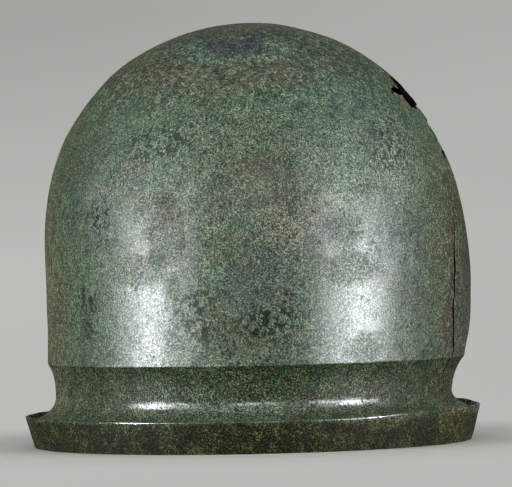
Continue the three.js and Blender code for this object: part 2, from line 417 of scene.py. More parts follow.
def tint(tree, mask, under, over, way="MIX"):
    """Lays one colour over another where a mask says."""
    sockets = {0: mask, 6: under, 7: over}
    return add_node(tree, "Mix", sockets, data_type="RGBA", blend_type=way).outputs[2]


def ramp(tree, value, start, end, low=0.0, high=1.0):
    """A value between two limits turned softly into one between low and high."""
    sockets = {0: value, 1: start, 2: end, 3: low, 4: high}
    return add_node(tree, "MapRange", sockets, interpolation_type="SMOOTHSTEP").outputs[0]


def sums(tree, way, first, second=0.0, third=0.0):
    return add_node(tree, "Math", {0: first, 1: second, 2: third}, operation=way).outputs[0]


def places_by(tree, way, first, second):
    """Sums on places and colours, number by number."""
    return add_node(tree, "VectorMath", {0: first, 1: second}, operation=way).outputs[0]


def distance_of(tree, place):
    made = add_node(tree, "VectorMath", {0: place}, operation="LENGTH")
    return made.outputs["Value"]


def scaled(tree, place, times):
    """A place or a colour times a number."""
    made = add_node(tree, "VectorMath", {0: place, "Scale": times}, operation="SCALE")
    return made.outputs[0]


def group_sockets(group, puts_in, puts_out):
    """Gives a node group its named inputs and outputs."""
    for name, kind, default in puts_in:
        made = group.interface.new_socket(name, in_out="INPUT", socket_type="NodeSocket" + kind)
        if default is not None:
            made.default_value = default
    for name in puts_out:
        group.interface.new_socket(name, in_out="OUTPUT", socket_type="NodeSocketFloat")
    return group.nodes.new("NodeGroupInput"), group.nodes.new("NodeGroupOutput")


def mottling_group():
    """Patina in clouds, blotches, specks and grains, and three slow drifts of its hue."""
    group = bpy.data.node_groups.new("patina mottling", "ShaderNodeTree")
    puts_in = [
        ("Vector", "Vector", None),
        ("Cloud size", "Float", 0.03),
        ("Speck size", "Float", 0.001),
    ]
    puts_out = ["Clouds", "Blotches", "Specks", "Grain", "Scabs"]
    puts_out += ["First drift", "Second drift", "Third drift"]
    start, end = group_sockets(group, puts_in, puts_out)
    cloud_scale = sums(group, "DIVIDE", 1.0, start.outputs["Cloud size"])
    speck_scale = sums(group, "DIVIDE", 1.0, start.outputs["Speck size"])
    noises = [  # each with its scale, detail and roughness
        ("Clouds", cloud_scale, 8.0, 0.7),
        ("Blotches", sums(group, "MULTIPLY", cloud_scale, 4.5), 6.0, 0.72),
        ("Specks", speck_scale, 3.0, 0.75),
        ("Grain", sums(group, "MULTIPLY", speck_scale, 1.7), 1.0, 0.5),
        ("Scabs", sums(group, "MULTIPLY", cloud_scale, 13.0), 4.0, 0.65),
        ("Drifts", sums(group, "MULTIPLY", cloud_scale, 1.7), 8.0, 0.7),
    ]
    for name, scale, detail, rough in noises:
        sockets = {"Vector": start.outputs["Vector"], "Scale": scale}
        made = add_node(group, "TexNoise", sockets | {"Detail": detail, "Roughness": rough})
        if name == "Drifts":
            parts = add_node(group, "SeparateColor", {0: made.outputs["Color"]})
            for part, drift in zip(parts.outputs, ("First", "Second", "Third")):
                group.links.new(part, end.inputs[drift + " drift"])
        else:
            group.links.new(made.outputs["Fac"], end.inputs[name])
    return group


def pits_group():
    """Small corrosion pits: a mask of where they are, and how deep."""
    group = bpy.data.node_groups.new("corrosion pits", "ShaderNodeTree")
    puts_in = [
        ("Vector", "Vector", None),
        ("Pit size", "Float", 0.003),
        ("Share", "Float", 0.2),
    ]
    start, end = group_sockets(group, puts_in, ["Pits", "Depth"])
    place, size = start.outputs["Vector"], start.outputs["Pit size"]
    scale = sums(group, "DIVIDE", 1.0, size)
    wander = add_node(group, "TexNoise", {"Vector": place, "Scale": scale}).outputs["Color"]
    bent = scaled(group, wander, sums(group, "MULTIPLY", size, 0.7))
    sockets = {"Vector": places_by(group, "ADD", place, bent), "Scale": scale}
    cells = add_node(group, "TexVoronoi", sockets).outputs
    left_out = sums(group, "SUBTRACT", 1.0, start.outputs["Share"])
    chosen = sums(group, "GREATER_THAN", cells["Color"], left_out)
    round_pit = ramp(group, cells["Distance"], 0.42, 0.15)
    sockets = {"Vector": place, "Scale": sums(group, "MULTIPLY", scale, 0.23)}
    gathered = ramp(group, add_node(group, "TexNoise", sockets).outputs["Fac"], 0.42, 0.6)
    pits = sums(group, "MULTIPLY", sums(group, "MULTIPLY", chosen, round_pit), gathered)
    group.links.new(pits, end.inputs["Pits"])
    group.links.new(sums(group, "MULTIPLY", pits, -1.0), end.inputs["Depth"])
    return group


def patch_group():
    """A patch of its own colour round one place, with a ragged edge."""
    group = bpy.data.node_groups.new("patina patch", "ShaderNodeTree")
    puts_in = [
        ("Vector", "Vector", None),
        ("Centre", "Vector", (0, 0, 0)),
        ("Reach", "Vector", (0.02, 0.02, 0.02)),
        ("Ragged", "Float", 0.6),
    ]
    start, end = group_sockets(group, puts_in, ["Patch"])
    place = start.outputs["Vector"]
    away = places_by(group, "SUBTRACT", place, start.outputs["Centre"])
    away = distance_of(group, places_by(group, "DIVIDE", away, start.outputs["Reach"]))
    sockets = {"Vector": place, "Scale": 90.0, "Detail": 6.0, "Roughness": 0.65}
    torn = add_node(group, "TexNoise", sockets).outputs["Fac"]
    push = sums(group, "MULTIPLY_ADD", torn, 2.0, -1.0)
    edge = sums(group, "MULTIPLY_ADD", push, start.outputs["Ragged"], away)
    group.links.new(ramp(group, edge, 1.15, 0.55), end.inputs["Patch"])
    return group


patina_mottling = mottling_group()
corrosion_pits = pits_group()
patina_patch = patch_group()


def use_group(tree, group, **sockets):
    """Places a node group with its own values. An underscore stands for a space."""
    sockets = {name.replace("_", " "): value for name, value in sockets.items()}
    return add_node(tree, "Group", sockets, node_tree=group).outputs


def patch_at(tree, place, centre, reach, ragged):
    made = use_group(tree, patina_patch, Vector=place, Centre=centre, Reach=reach, Ragged=ragged)
    return made["Patch"]


def blank_material(name):
    """A material with one Principled shader, and the place on the object."""
    material = bpy.data.materials.new(name)
    material.use_nodes = True
    tree = material.node_tree
    tree.nodes.clear()
    shader = add_node(tree, "BsdfPrincipled")
    output = add_node(tree, "OutputMaterial", {"Surface": shader.outputs[0]})
    output.name = "Material Output"
    place = add_node(tree, "TexCoord").outputs["Object"]
    return material, tree, shader, place


def bump_into(tree, shader, relief, strength, depth):
    """Puts a fine relief on a shader's surface."""
    bump = add_node(tree, "Bump", {"Height": relief, "Strength": strength, "Distance": depth})
    tree.links.new(bump.outputs[0], shader.inputs["Normal"])


dark_green = srgb(57, 69, 54)
mid_green = srgb(93, 121, 87)
pale_green = srgb(120, 150, 116)
leaf_green = srgb(74, 116, 82)
teal = srgb(70, 114, 96)
olive = srgb(90, 88, 54)
umber = srgb(68, 60, 38)
slate = srgb(80, 96, 98)
night_blue = srgb(34, 44, 70)
rust = srgb(112, 78, 56)
near_black = srgb(22, 34, 18)
straw = srgb(160, 160, 138)
earth_brown = srgb(108, 84, 58)
blue_green = srgb(64, 114, 84)
brim_olive = srgb(90, 92, 48)
brim_glaze = srgb(246, 240, 174)
# Painted shade: the torn faces and the inside round the hole are painted nearly black, so that the
# hole and crack look dark.
painted_shade_black = srgb(9, 8, 6)
painted_shade_brown = srgb(20, 15, 10)
torn_edge_in_shade = srgb(40, 30, 20)

# Where the patina is unlike the rest, and three places of painted highlight and shade: its colour,
# middle, reach and how much it covers.
# Left and right are the wearer's.
coloured_patches = [
    (teal, (0.045, -0.075, 0.165), (0.05, 0.06, 0.032), 0.5),  # left shoulder
    (leaf_green, (-0.045, -0.09, 0.15), (0.035, 0.06, 0.032), 0.5),  # right shoulder
    (srgb(96, 118, 92), (-0.004, -0.1, 0.155), (0.028, 0.05, 0.02), 0.8),  # middle, high
    (srgb(104, 138, 106), (-0.012, -0.115, 0.0205), (0.03, 0.03, 0.0065), 0.9),  # gutter, middle
    (olive, (-0.06, -0.06, 0.19), (0.035, 0.05, 0.018), 0.7),  # above the right shoulder
    (srgb(108, 88, 66), (-0.058, -0.1, 0.139), (0.013, 0.03, 0.006), 0.6),  # freckle on the right
    (srgb(134, 132, 110), (0.018, -0.118, 0.115), (0.015, 0.03, 0.022), 0.8),  # middle of the dome
    (srgb(132, 150, 128), (0.074, -0.074, 0.14), (0.017, 0.03, 0.027), 0.8),  # beside the hole
    (srgb(140, 150, 132), (-0.074, -0.08, 0.127), (0.01, 0.03, 0.01), 0.8),  # right side
    (srgb(60, 62, 38), (0.009, -0.12, 0.131), (0.024, 0.03, 0.019), 0.9),  # middle of the dome
    (srgb(92, 84, 62), (-0.041, -0.108, 0.115), (0.016, 0.03, 0.014), 0.6),  # right of the middle
    (srgb(56, 62, 44), (0.012, -0.06, 0.197), (0.08, 0.05, 0.015), 0.7),  # round the crown
    (srgb(92, 80, 56), (-0.012, -0.087, 0.183), (0.05, 0.024, 0.01), 0.65),  # belt under the crown
    (slate, (0.004, -0.12, 0.082), (0.022, 0.05, 0.022), 0.55),  # middle, low
    (slate, (-0.075, -0.08, 0.14), (0.02, 0.04, 0.035), 0.4),  # right side
    (srgb(104, 148, 124), (-0.006, -0.064, 0.1985), (0.036, 0.035, 0.0095), 0.65),  # navy fringe
    (srgb(38, 48, 32), (-0.006, -0.03, 0.21), (0.055, 0.05, 0.0085), 0.95),  # top of the crown
    (night_blue, (-0.006, -0.062, 0.199), (0.021, 0.03, 0.0062), 0.95),  # navy patch
    (srgb(78, 84, 62), (-0.082, -0.07, 0.158), (0.018, 0.05, 0.03), 0.6),  # right side, high
    # Painted shade: the edge of the left flank is darkened past its brown patina.
    (srgb(42, 36, 10), (0.116, -0.012, 0.07), (0.02, 0.05, 0.09), 1.0),  # left edge
    (srgb(100, 102, 70), (0.098, -0.06, 0.1), (0.012, 0.04, 0.09), 0.6),  # below the hole
    (srgb(104, 104, 72), (-0.11, -0.03, 0.07), (0.026, 0.06, 0.085), 1.0),  # right edge
    (rust, (-0.1, -0.045, 0.007), (0.01, 0.03, 0.006), 0.7),  # right end of the band
    (srgb(112, 92, 66), (0.079, -0.038, 0.1705), (0.008, 0.007, 0.005), 0.95),  # edge of the hole
    (srgb(88, 66, 40), (0.095, -0.024, 0.137), (0.012, 0.008, 0.01), 0.9),  # top of the crack
    (srgb(88, 66, 40), (0.1, -0.034, 0.122), (0.012, 0.008, 0.013), 0.9),  # top of the crack
    (srgb(124, 84, 50), (0.1, -0.047, 0.104), (0.008, 0.0055, 0.006), 0.95),  # crack
    (srgb(96, 56, 38), (0.1, -0.049, 0.062), (0.012, 0.006, 0.016), 1.0),  # lower crack
    (srgb(40, 62, 44), (0.091, -0.037, 0.0235), (0.006, 0.006, 0.004), 1.0),  # throat by the crack
    (srgb(44, 42, 24), (-0.055, -0.107, 0.008), (0.032, 0.03, 0.008), 0.8),  # band, right
    (srgb(50, 48, 28), (0.008, -0.127, 0.007), (0.014, 0.03, 0.006), 0.6),  # band, middle
    (srgb(156, 150, 108), (0.1, -0.055, 0.01), (0.016, 0.027, 0.014), 0.85),  # band, left
    (srgb(150, 150, 106), (-0.1, -0.03, 0.03), (0.013, 0.04, 0.014), 0.75),  # throat, right end
    # Painted highlight: a pale band under the rim stands in for its gleam.
    (srgb(188, 194, 184), (0.064, -0.11, 0.0138), (0.024, 0.03, 0.0034), 0.9),  # rim, left
    # Painted reflection: the gutter at the left end of the rim is painted pale.
    (srgb(176, 180, 168), (0.112, 0.0, 0.0165), (0.012, 0.04, 0.004), 0.9),  # left end of the rim
]

# Streaks beside the crack: their colour, the noise they show at, their middle and reach
streaked_places = [
    (srgb(122, 108, 62), 0.52, 0.6, (0.104, -0.04, 0.1), (0.012, 0.018, 0.06)),
    (srgb(34, 30, 16), 0.48, 0.42, (0.104, -0.04, 0.09), (0.012, 0.02, 0.06)),
    (srgb(110, 78, 50), 0.44, 0.54, (0.096, -0.04, 0.031), (0.012, 0.011, 0.014)),
    (srgb(160, 152, 90), 0.55, 0.62, (-0.108, -0.035, 0.075), (0.012, 0.03, 0.05)),
]

# Where the wax is worn off, which leaves a dull place: its middle and reach
dull_places = [
    ((-0.054, -0.1, 0.09), (0.02, 0.04, 0.01)),
    ((-0.037, -0.1, 0.08), (0.005, 0.04, 0.009)),
    ((0.055, -0.1, 0.049), (0.009, 0.04, 0.01)),
    ((0.048, -0.1, 0.089), (0.018, 0.04, 0.011)),
    ((-0.05, -0.1, 0.137), (0.026, 0.05, 0.026)),
    ((-0.04, -0.1, 0.108), (0.013, 0.05, 0.02)),
    ((0.054, -0.1, 0.139), (0.023, 0.05, 0.02)),
    ((0.046, -0.1, 0.108), (0.012, 0.04, 0.011)),
]

# Where dark scabs are gathered: the middle and reach of each cluster
scabbed_places = [
    ((-0.027, -0.115, 0.068), (0.014, 0.03, 0.016)),
    ((-0.081, -0.077, 0.071), (0.009, 0.03, 0.017)),
    ((-0.073, -0.086, 0.117), (0.009, 0.03, 0.008)),
    ((0.062, -0.095, 0.1), (0.006, 0.03, 0.008)),
    ((-0.044, -0.095, 0.151), (0.021, 0.04, 0.013)),
    ((0.07, -0.075, 0.147), (0.014, 0.04, 0.014)),
    ((0.01, -0.12, 0.062), (0.018, 0.04, 0.01)),
]


def weathered_bronze(name, refraction, roughness, coat_refraction, coat_roughness, lower_darkening):
    """A green patina, waxed by handling, with stains and pits, a few places of painted highlight
    and shade, and more or less darkening on the lower part, most on the band.
    """
    material, tree, shader, place = blank_material(name)
    across, _, height = add_node(tree, "SeparateXYZ", {0: place}).outputs
    below_rim = (height, rim_height, rim_height - 0.003)
    patina = use_group(tree, patina_mottling, Vector=place, Cloud_size=0.034, Speck_size=0.001)
    pits = use_group(tree, corrosion_pits, Vector=place, Pit_size=0.003, Share=0.35)
    pin_pits = use_group(tree, corrosion_pits, Vector=place, Pit_size=0.0014, Share=0.3)
    pitted = sums(tree, "MAXIMUM", pits["Pits"], pin_pits["Pits"])

    # Clouds of two greens that drift to other hues
    colour = tint(tree, ramp(tree, patina["Clouds"], 0.45, 0.58, 0, 0.75), mid_green, dark_green)
    colour = tint(tree, ramp(tree, patina["First drift"], 0.5, 0.62, 0, 0.75), colour, leaf_green)
    colour = tint(tree, ramp(tree, patina["Second drift"], 0.5, 0.62, 0, 0.8), colour, olive)
    colour = tint(tree, ramp(tree, patina["Third drift"], 0.53, 0.66, 0, 0.6), colour, slate)
    if lower_darkening:
        colour = tint(tree, ramp(tree, *below_rim, 0.4, 0.75), colour, brim_olive)

    # The places that differ, and the streaks that run down them
    for shade, centre, reach, cover in coloured_patches:
        patch = patch_at(tree, place, centre, reach, 0.8)
        broken = ramp(tree, patina["Specks"], 0.42, 0.54, cover * 0.55, cover)
        colour = tint(tree, sums(tree, "MULTIPLY", patch, broken), colour, shade)
    colour = tint(tree, ramp(tree, patina["Scabs"], 0.56, 0.62, 0, 0.5), colour, earth_brown)
    colour = tint(tree, ramp(tree, patina["Blotches"], 0.48, 0.38, 0, 0.65), colour, blue_green)
    drawn_down = places_by(tree, "MULTIPLY", place, (1, 1, 0.12))
    sockets = {"Vector": drawn_down, "Scale": 420.0, "Detail": 4.0, "Roughness": 0.6}
    streaks = add_node(tree, "TexNoise", sockets).outputs["Fac"]
    for shade, low, high, centre, reach in streaked_places:
        patch = patch_at(tree, place, centre, reach, 0.5)
        run = sums(tree, "MULTIPLY", patch, ramp(tree, streaks, low, high, 0, 0.85))
        colour = tint(tree, run, colour, shade)

    # Darker and browner on the lower part, most below the rim, dark and pale specks, and the scabs
    colour = tint(tree, ramp(tree, *below_rim, lower_darkening, lower_darkening * 2.1), colour, umber, "MULTIPLY")
    gathered = sums(tree, "MULTIPLY_ADD", patina["Blotches"], 1.1, patina["Specks"])
    colour = tint(tree, ramp(tree, gathered, 0.99, 0.92, 0, 0.7), colour, near_black)
    colour = tint(tree, ramp(tree, gathered, 1.11, 1.2, 0, 0.45), colour, pale_green)
    for centre, reach in scabbed_places:
        patch = patch_at(tree, place, centre, reach, 0.8)
        scabs = sums(tree, "MULTIPLY", patch, ramp(tree, patina["Scabs"], 0.48, 0.455))
        pitted = sums(tree, "MAXIMUM", pitted, scabs)

    # Lighter and darker grains, which are coarser near the crown and the sides
    light = ramp(tree, patina["Specks"], 0.42, 0.58, 0.42, 1.65)
    light = sums(tree, "MULTIPLY", light, ramp(tree, patina["Grain"], 0.38, 0.62, 0.2, 1.8))
    near_crown = ramp(tree, height, 0.15, 0.19, 0.25)
    near_sides = ramp(tree, sums(tree, "ABSOLUTE", across), 0.08, 0.105)
    coarser = sums(tree, "MAXIMUM", near_crown, near_sides)
    flecks = ramp(tree, patina["Scabs"], 0.43, 0.57, -0.7, 0.85)
    light = sums(tree, "MULTIPLY", light, sums(tree, "MULTIPLY_ADD", coarser, flecks, 1.0))
    colour = scaled(tree, colour, light)
    colour = tint(tree, ramp(tree, patina["Grain"], 0.58, 0.68, 0, 0.5), colour, straw)
    if lower_darkening:
        colour = tint(tree, ramp(tree, *below_rim, 0, 0.85), colour, brim_glaze, "MULTIPLY")
    colour = tint(tree, sums(tree, "MULTIPLY", pitted, 0.8), colour, near_black)
    tree.links.new(colour, shader.inputs["Base Color"])

    # The wax: thin in the dark specks, gone from the pits and worn in the dull places
    edge_on = add_node(tree, "LayerWeight", {"Blend": 0.5}).outputs["Facing"]
    dulled = ramp(tree, edge_on, 0.35, 0.65)
    rough = ramp(tree, patina["Specks"], 0.4, 0.58, *roughness)
    rough = sums(tree, "MULTIPLY_ADD", dulled, 0.26, rough)
    wax = ramp(tree, patina["Specks"], 0.4, 0.56, 0.35, 1.0)
    wax = sums(tree, "MULTIPLY", wax, ramp(tree, gathered, 0.9, 1.02, 0.3, 1.0))
    wax = sums(tree, "MULTIPLY", wax, sums(tree, "SUBTRACT", 1.0, pitted))
    wax = sums(tree, "MULTIPLY", wax, sums(tree, "SUBTRACT", 1.0, dulled))
    for centre, reach in dull_places:
        patch = patch_at(tree, place, centre, reach, 0.5)
        wax = sums(tree, "MULTIPLY", wax, sums(tree, "MULTIPLY_ADD", patch, -0.6, 1.0))
        rough = sums(tree, "MULTIPLY_ADD", patch, 0.22, rough)
    if lower_darkening:
        flare = ramp(tree, height, throat_height, throat_height - 0.002)
        band = ramp(tree, height, rim_height - 0.0025, rim_height - 0.001, 0.1, 1)
        wax = sums(tree, "MULTIPLY", wax, sums(tree, "MULTIPLY", flare, band))
    tree.links.new(rough, shader.inputs["Roughness"])
    tree.links.new(wax, shader.inputs["Coat Weight"])
    shader.inputs["IOR"].default_value = refraction
    shader.inputs["Coat IOR"].default_value = coat_refraction
    shader.inputs["Coat Roughness"].default_value = coat_roughness

    relief = sums(tree, "MULTIPLY_ADD", patina["Grain"], 0.35, patina["Specks"])
    relief = sums(tree, "MULTIPLY_ADD", pits["Depth"], 0.8, relief)
    bump_into(tree, shader, relief, 0.45, 0.0003)
    return material


def inner_bronze():
    """The inside of the bowl: duller and browner, as it was left from the hammer, with painted
    shade round the hole.
    """
    material, tree, shader, place = blank_material("inner_bronze")
    patina = use_group(tree, patina_mottling, Vector=place, Cloud_size=0.02, Speck_size=0.0013)
    colour = tint(tree, ramp(tree, patina["Clouds"], 0.38, 0.62), umber, olive)
    colour = tint(tree, ramp(tree, patina["Blotches"], 0.52, 0.7, 0, 0.5), colour, mid_green)
    colour = tint(tree, ramp(tree, patina["Specks"], 0.42, 0.3, 0, 0.7), colour, near_black)
    # Painted shade: the inside round the hole is painted nearly black, so the hole looks dark.
    hole_shade = patch_at(tree, place, (0.1, -0.015, 0.163), (0.07, 0.06, 0.05), 0.3)
    tree.links.new(tint(tree, hole_shade, colour, painted_shade_black), shader.inputs["Base Color"])
    shader.inputs["Roughness"].default_value = 0.8
    shader.inputs["Specular IOR Level"].default_value = 0.15
    bump_into(tree, shader, patina["Specks"], 0.4, 0.0003)
    return material


def torn_bronze_in_shade():
    """The torn metal round the hole and in the crack: its dark brown painted nearly black, as
    painted shade in the hole and the crack.
    """
    material, tree, shader, place = blank_material("torn_bronze_in_shade")
    patina = use_group(tree, patina_mottling, Vector=place, Cloud_size=0.008, Speck_size=0.0008)
    colour = tint(tree, ramp(tree, patina["Clouds"], 0.38, 0.62), painted_shade_black, painted_shade_brown)
    colour = tint(tree, ramp(tree, patina["Specks"], 0.54, 0.62, 0, 0.3), colour, torn_edge_in_shade)
    tree.links.new(colour, shader.inputs["Base Color"])
    shader.inputs["Roughness"].default_value = 0.9
    shader.inputs["Specular IOR Level"].default_value = 0.1
    return material


bowl_outer = weathered_bronze(
    "waxed_patina", lower_darkening=0,
    refraction=1.5, roughness=(0.42, 0.2), coat_refraction=1.7, coat_roughness=0.5,
)
bowl_brim = weathered_bronze(
    "darkened_lower_patina", lower_darkening=0.4,
    refraction=1.3, roughness=(0.66, 0.42), coat_refraction=2.6, coat_roughness=0.22,
)
bowl_inner = inner_bronze()
bowl_torn = torn_bronze_in_shade()

bowl = raised("raised_bowl", round_steps, bowl_section(), half_length)
push_out_of_true(bowl)
hammer(bowl, "broad_dents", size=0.045, depth=0.0016)
hammer(bowl, "hammer_marks", size=0.011, depth=0.00035)
wear_foot(bowl)
for material in (bowl_outer, bowl_inner, bowl_brim):
    bowl.data.materials.append(material)
dome_middle = Vector((0, 0, bulge_height))
for face in bowl.data.polygons:
    if face.center.z < ledge_height:
        face.material_index = 2
    elif (face.center - dome_middle).dot(face.normal) < 0:
        face.material_index = 1
hole_edge = ragged(hole_line, hole_raggedness, True)
cut_away(bowl, sideways_cutter("worn_hole", hole_edge, bowl_torn))
crack_sides = []
for side in (-1, 1):
    edge = [
        (y + side * crack_opening * opening / 2, z)
        for (y, z), (forward, down, opening) in zip(crack_line, crack_shares)
    ]
    crack_sides.append(ragged(edge, crack_raggedness, False))
cut_away(bowl, sideways_cutter("crack", crack_sides[0] + crack_sides[1][::-1], bowl_torn))
rivet_hole = rivet_shank + gap
drill(bowl, "rivet_drills", rivet_places, rivet_hole, lip_foot - gap, lip_foot + wall + gap)
smooth_angle = math.radians(40)


def smooth_over(piece):
    """Shades a piece smooth, but not over its sharp edges."""
    bpy.ops.object.select_all(action="DESELECT")
    piece.select_set(True)
    bpy.context.view_layer.objects.active = piece
    bpy.ops.object.shade_smooth_by_angle(angle=smooth_angle)


smooth_over(bowl)
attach(bowl, "root")
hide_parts("helmet_bowl")

# The lining ring
# A flat oval ring of bronze sheet, riveted to the top of the lip, inside the brim. A row
# of small punched holes along its inner edge took the thread that held the lining, and
# two pairs of larger ones took the chin strap.

ring_foot = lip_foot + wall + gap
ring_thick = 0.0015
ring_outer = band_half(ring_foot) - wall - 2 * gap
ring_width = 0.02
ring_inner = ring_outer - ring_width
ring_strips = 6  # across its width
ring_bevel = 0.00025
sewing_hole = 0.0011  # this and the strap's hole are given as half their width
sewing_line = ring_inner + 0.003
sewing_pitch = 0.014
strap_hole = 0.0023
strap_line = ring_inner + 0.0076
strap_spacing = 0.016


def ring_patina():
    """Dull green, browner along the inner edge, where the lining rotted against it."""
    material, tree, shader, place = blank_material("ring_patina")
    patina = use_group(tree, patina_mottling, Vector=place, Cloud_size=0.018, Speck_size=0.0011)
    pits = use_group(tree, corrosion_pits, Vector=place, Pit_size=0.0022, Share=0.4)
    colour = tint(tree, ramp(tree, patina["Clouds"], 0.42, 0.58), dark_green, olive)
    colour = tint(tree, ramp(tree, patina["First drift"], 0.5, 0.6, 0, 0.7), colour, mid_green)
    inner_oval = (1 / sewing_line, 1 / half_length(sewing_line), 0)
    outward = distance_of(tree, places_by(tree, "MULTIPLY", place, inner_oval))
    torn = sums(tree, "MULTIPLY_ADD", patina["Blotches"], 0.16, outward)
    colour = tint(tree, ramp(tree, torn, 1.13, 1.06, 0, 0.85), colour, umber)
    colour = tint(tree, ramp(tree, patina["Blotches"], 0.55, 0.62, 0, 0.6), colour, pale_green)
    colour = scaled(tree, colour, ramp(tree, patina["Specks"], 0.4, 0.6, 0.4, 1.6))
    colour = tint(tree, sums(tree, "MULTIPLY", pits["Pits"], 0.8), colour, near_black)
    tree.links.new(colour, shader.inputs["Base Color"])
    rough = ramp(tree, patina["Specks"], 0.4, 0.6, 0.75, 0.52)
    tree.links.new(rough, shader.inputs["Roughness"])
    relief = sums(tree, "MULTIPLY_ADD", pits["Depth"], 0.8, patina["Specks"])
    bump_into(tree, shader, relief, 0.5, 0.0003)
    return material


bpy.ops.object.select_all(action="DESELECT")
bpy.ops.mesh.primitive_circle_add(vertices=round_steps, radius=1, enter_editmode=True)
ring = bpy.context.object
ring.name = "pierced_ring"
ring.data.materials.append(ring_patina())
bpy.ops.transform.resize(value=(ring_inner, half_length(ring_inner), 1))
bpy.ops.transform.translate(value=(0, 0, ring_foot))
half = ring_inner
for i in range(ring_strips):
    wider = ring_inner + (ring_outer - ring_inner) * (i + 1) / ring_strips
    bpy.ops.mesh.extrude_region_move()
    widen = (wider / half, half_length(wider) / half_length(half), 1)
    bpy.ops.transform.resize(value=widen, center_override=(0, 0, ring_foot))
    half = wider
bpy.ops.mesh.select_all(action="SELECT")
bpy.ops.mesh.extrude_region_move(TRANSFORM_OT_translate={"value": (0, 0, ring_thick)})
bpy.ops.mesh.select_all(action="SELECT")
bpy.ops.mesh.normals_make_consistent(inside=False)
bpy.ops.object.mode_set(mode="OBJECT")


def evenly_along(half, pitch):
    """Places at an even spacing along an oval, from the wearer's left."""
    turns = np.linspace(0, 2 * math.pi, 8 * round_steps + 1)
    line = np.stack([half * np.cos(turns), half_length(half) * np.sin(turns)], axis=1)
    run = np.concatenate([[0], np.cumsum(np.linalg.norm(np.diff(line, axis=0), axis=1))])
    stops = np.linspace(0, run[-1], round(run[-1] / pitch) + 1)[1:]
    return [tuple(np.interp(stop, run, axis) for axis in line.T) for stop in stops]


ring_low, ring_high = ring_foot - gap, ring_foot + ring_thick + gap
strap_places = [(a * strap_line, b * strap_spacing / 2) for a in (-1, 1) for b in (-1, 1)]
sewing_places = evenly_along(sewing_line, sewing_pitch)
drill(ring, "sewing_punch", sewing_places, sewing_hole, ring_low, ring_high)
drill(ring, "strap_punch", strap_places, strap_hole, ring_low, ring_high)
drill(ring, "rivet_punch", rivet_places, rivet_hole, ring_low, ring_high)
rubbed = ring.modifiers.new("rubbed_edges", "BEVEL")
rubbed.width = ring_bevel
rubbed.segments = 2
rubbed.limit_method = "ANGLE"
bpy.context.view_layer.objects.active = ring
bpy.ops.object.modifier_apply(modifier=rubbed.name)
hammer(ring, "ring_dents", size=0.02, depth=0.0003)
smooth_over(ring)
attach(ring, "root")
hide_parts("lining_ring")

# The rivets
# Twelve bronze rivets pin the ring to the lip. Each was headed cold at both ends, so the
# button heads are round but a little uneven, and their tops are rubbed to the metal.

rivet_head = 0.0027  # half of the head's width
rivet_head_height = 0.0012
least_width = 0.94  # the share of its width that the most uneven head keeps
rivet_sides = 24
rivet_low = lip_foot - gap
rivet_high = ring_foot + ring_thick + gap
button = [math.radians(turn) for turn in (14, 32, 50, 68, 82, 90)]  # from top to edge
lower_head = [
    (rivet_head * math.sin(turn), rivet_low - rivet_head_height * math.cos(turn))
    for turn in button
]
upper_head = [(x, rivet_low + rivet_high - z) for x, z in reversed(lower_head)]
shank = [(rivet_shank, rivet_low), (rivet_shank, rivet_high)]
rivet_section = [*lower_head, *shank, *upper_head]
rivet = raised("button_rivet", rivet_sides, rivet_section, lambda half: half)
hammer(rivet, "rivet_dents", size=0.0022, depth=0.0003)
bare_bronze = srgb(150, 122, 76)


def rivet_patina():
    """Brown green bronze, with the tops of the heads rubbed to the metal."""
    material, tree, shader, place = blank_material("rivet_patina")
    patina = use_group(tree, patina_mottling, Vector=place, Cloud_size=0.006, Speck_size=0.0006)
    colour = tint(tree, ramp(tree, patina["Clouds"], 0.42, 0.58), umber, olive)
    colour = tint(tree, ramp(tree, patina["Blotches"], 0.52, 0.6, 0, 0.6), colour, leaf_green)
    colour = tint(tree, ramp(tree, patina["Specks"], 0.46, 0.38, 0, 0.7), colour, near_black)
    height = add_node(tree, "SeparateXYZ", {0: place}).outputs["Z"]
    middle = (rivet_low + rivet_high) / 2
    away = sums(tree, "ABSOLUTE", sums(tree, "SUBTRACT", height, middle))
    head_top = rivet_high - middle + rivet_head_height
    rubbed = ramp(tree, away, head_top - 0.0006, head_top - 0.0001)
    rubbed = sums(tree, "MULTIPLY", rubbed, ramp(tree, patina["Specks"], 0.4, 0.55, 0.2, 0.9))
    colour = tint(tree, rubbed, colour, bare_bronze)
    tree.links.new(colour, shader.inputs["Base Color"])
    tree.links.new(sums(tree, "MULTIPLY", rubbed, 0.8), shader.inputs["Metallic"])
    tree.links.new(ramp(tree, rubbed, 0.0, 1.0, 0.66, 0.4), shader.inputs["Roughness"])
    bump_into(tree, shader, patina["Specks"], 0.4, 0.0002)
    return material


rivet.data.materials.append(rivet_patina())
smooth_over(rivet)
uneven = random.Random(12)
for i, (x, y) in enumerate(rivet_places):
    copy = rivet if i == rivet_count - 1 else rivet.copy()
    copy.data = rivet.data.copy()
    copy.name = f"button_rivet_{i + 1:02d}"
    if copy is not rivet:
        bpy.context.scene.collection.objects.link(copy)
    narrower, shorter = (uneven.uniform(least_width, 1) for _ in range(2))
    squeeze = Matrix.Diagonal((narrower, shorter, 1, 1))
    turned = Matrix.Rotation(uneven.uniform(0, math.tau), 4, "Z")
    copy.data.transform(Matrix.Translation((x, y, 0)) @ turned @ squeeze)
    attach(copy, "root")
    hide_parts(f"ring_rivet_{i + 1:02d}")

# The room
# A pale round floor that sweeps up into a wall far off on every side. Tall soft lamps
# stand at both sides with a high one over each, and broad ones in front and behind. Two
# small lamps on each side light the gloss alone, and put the gleams on the bronze.

